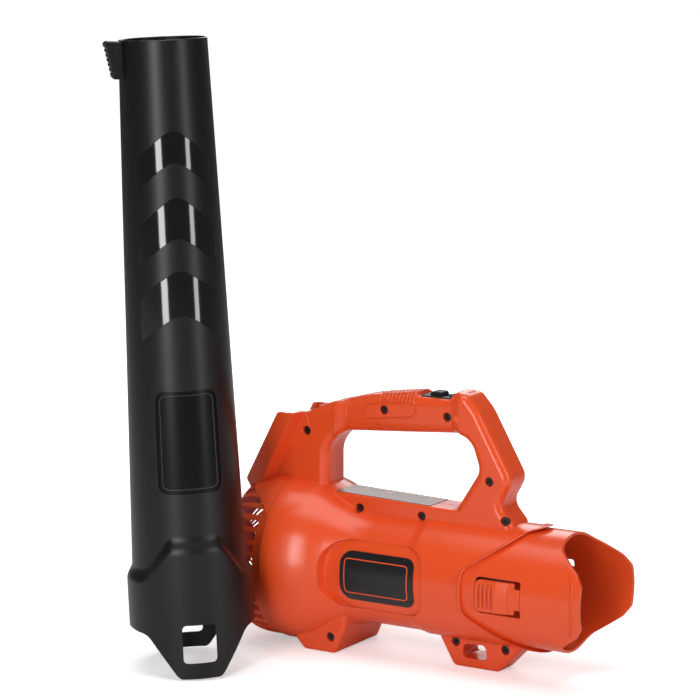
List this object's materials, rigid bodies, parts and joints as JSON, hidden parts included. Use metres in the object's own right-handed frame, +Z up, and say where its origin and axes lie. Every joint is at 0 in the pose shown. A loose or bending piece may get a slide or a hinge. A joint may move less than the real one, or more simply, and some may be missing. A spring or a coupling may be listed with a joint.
{
  "type": "leaf blower",
  "caption": "Hand-held battery leaf blower: bell-shaped duct body with closed handle, domed intake grille and a latching nozzle, with its long tapered blowing tube standing loose beside it.",
  "frame": {"origin": "on the tool's middle plane, on the flat underside of the front loop where it rests on the table", "axes": "+X is the way the air leaves the nozzle, +Z is up, +Y is the tool's left"},
  "size_m": [0.4247, 0.2765, 0.5774],
  "materials": {
    "housing_orange": "satin moulded",
    "screw_steel": "black oxide",
    "inner_black": "matt",
    "soft_rubber": "soft",
    "zinc_steel": "plated",
    "magnet": "matt",
    "bearing_steel": "polished",
    "terminal_brass": "polished",
    "wire_red": "insulation",
    "wire_black": "insulation",
    "label_film": "printed film",
    "badge_black": "satin",
    "fan_grey": "matt",
    "tube_black": "satin black"
  },
  "bodies": {
    "housing": {"right_housing": "housing_orange", "left_housing": "housing_orange", "housing_screws": "screw_steel", "nozzle": "housing_orange", "intake_grille": "housing_orange", "motor_mount": "inner_black", "rubber_rings": "soft_rubber", "motor_can": "zinc_steel", "motor_magnets": "magnet", "motor_end_cap": "inner_black", "rear_bearing": "bearing_steel", "front_bearing": "bearing_steel", "tail_cone": "inner_black", "terminal_block": "inner_black", "terminals": "terminal_brass", "switch_plate": "inner_black", "switch_body": "inner_black", "battery_wire": "wire_red", "motor_wire_live": "wire_red", "motor_wire_return": "wire_black", "rating_label": "label_film", "badge_right": "badge_black", "badge_left": "badge_black"},
    "rotor": {"motor_shaft": "bearing_steel", "motor_rotor": "zinc_steel", "impeller": "fan_grey", "fan_nut": "bearing_steel"},
    "switch_knob": {"switch_knob": "tube_black"},
    "latch_right": {"latch_right": "housing_orange"},
    "latch_left": {"latch_left": "housing_orange"},
    "air_tube": {"air_tube": "tube_black"}
  },
  "joints": [
    {"name": "fan_spin", "type": "hinge", "parent": "housing", "child": "rotor", "pos_m": [-0.1, 0, 0.082], "axis": [1, 0, 0], "continuous": true},
    {"name": "switch_slide", "type": "slide", "parent": "housing", "child": "switch_knob", "axis": [1, 0, 0], "range_m": [0, 0.005]},
    {"name": "latch_press_right", "type": "hinge", "parent": "housing", "child": "latch_right", "pos_m": [0.05, -0.0537, 0.082], "axis": [0, 0, 1], "range_deg": [-5, 0], "stiffness_Nm_per_rad": 2},
    {"name": "latch_press_left", "type": "hinge", "parent": "housing", "child": "latch_left", "pos_m": [0.05, 0.0537, 0.082], "axis": [0, 0, 1], "range_deg": [0, 5], "stiffness_Nm_per_rad": 2},
    {"name": "tube_lift", "type": "slide", "parent": "housing", "child": "air_tube", "axis": [-0.034, -0.0213, 0.9992], "range_m": [0, 0.2]}
  ]
}
